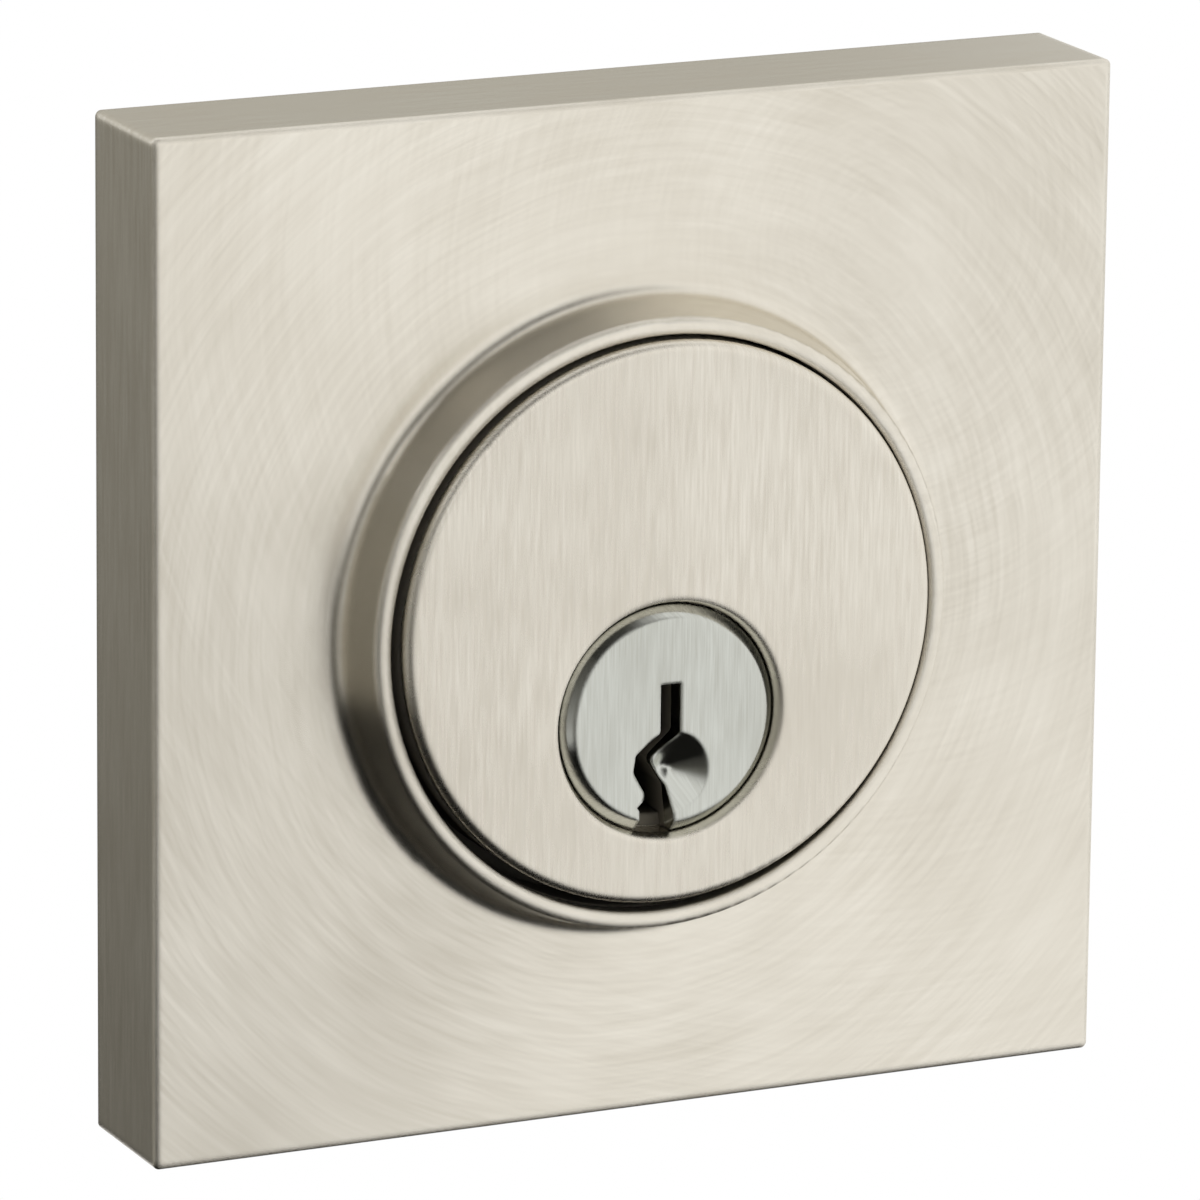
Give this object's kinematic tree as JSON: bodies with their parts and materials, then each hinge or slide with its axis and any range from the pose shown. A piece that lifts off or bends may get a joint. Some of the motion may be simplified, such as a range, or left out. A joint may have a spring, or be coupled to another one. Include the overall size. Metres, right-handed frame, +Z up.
{
  "type": "deadbolt door lock",
  "caption": "Single-cylinder tubular deadbolt with square roses: key cylinder in a raised ring outside, thumbturn inside, and a bolt that a crank throws from the door's edge.",
  "frame": {"origin": "centre of the outside rose, on the door's outer face", "axes": "+X along the bolt towards the door's edge, +Y through the door from the outside to the inside, +Z up"},
  "size_m": [0.0921, 0.0869, 0.0636],
  "materials": {
    "satin_nickel": "satin nickel plate, brushed",
    "plug_nickel": "nickel silver, finely brushed",
    "brass": "machined",
    "zinc_steel": "zinc plated",
    "hardened_steel": "hardened, ground",
    "spring_steel": "drawn wire",
    "nylon": "moulded"
  },
  "bodies": {
    "housing": {"outside_rose": "satin_nickel", "cylinder_shell": "satin_nickel", "spring_cover": "brass", "anti_drill_pins": "hardened_steel", "outside_mount_plate": "zinc_steel", "screw_posts": "zinc_steel", "cylinder_screws": "zinc_steel", "bolt_tube": "zinc_steel", "case_plate_outside": "zinc_steel", "case_plate_inside": "zinc_steel", "case_rivets": "zinc_steel", "backing_plate": "zinc_steel", "faceplate": "satin_nickel", "inside_rose": "satin_nickel", "inside_mount_plate": "zinc_steel", "rose_set_screw": "zinc_steel", "through_screws": "zinc_steel", "turn_bush": "nylon", "driver_pin_1": "brass", "driver_pin_2": "brass", "driver_pin_3": "brass", "driver_pin_4": "brass", "driver_pin_5": "brass", "pin_spring_1": "spring_steel", "pin_spring_2": "spring_steel", "pin_spring_3": "spring_steel", "pin_spring_4": "spring_steel", "pin_spring_5": "spring_steel"},
    "plug": {"key_plug": "plug_nickel", "key_pin_1": "brass", "key_pin_2": "brass", "key_pin_3": "brass", "key_pin_4": "brass", "key_pin_5": "brass", "plug_clip": "zinc_steel", "tailpiece": "brass", "tailpiece_pin": "zinc_steel"},
    "hub": {"hub_cam": "zinc_steel", "crank_pin": "zinc_steel"},
    "turn": {"thumbturn": "satin_nickel", "turn_clip": "zinc_steel"},
    "bolt": {"dead_bolt": "satin_nickel", "bolt_roller": "hardened_steel", "bolt_tail": "zinc_steel", "tail_rivets": "zinc_steel"}
  },
  "joints": [
    {"name": "key_turn", "type": "hinge", "parent": "housing", "child": "plug", "pos_m": [0, 0, -0.0057], "axis": [0, 1, 0], "range_deg": [0, 90]},
    {"name": "hub_turn", "type": "hinge", "parent": "housing", "child": "hub", "pos_m": [0, 0.02223, -0.0057], "axis": [0, 1, 0], "range_deg": [0, 90]},
    {"name": "thumb_turn", "type": "hinge", "parent": "housing", "child": "turn", "pos_m": [0, 0.05345, -0.0057], "axis": [0, 1, 0], "range_deg": [0, 90]},
    {"name": "bolt_throw", "type": "slide", "parent": "housing", "child": "bolt", "axis": [1, 0, 0], "range_m": [0, 0.0254]}
  ],
  "couplings": [
    {"joint": "key_turn", "follows": "bolt_throw", "rad_per_m": 61.842},
    {"joint": "hub_turn", "follows": "bolt_throw", "rad_per_m": 61.842},
    {"joint": "thumb_turn", "follows": "bolt_throw", "rad_per_m": 61.842}
  ]
}
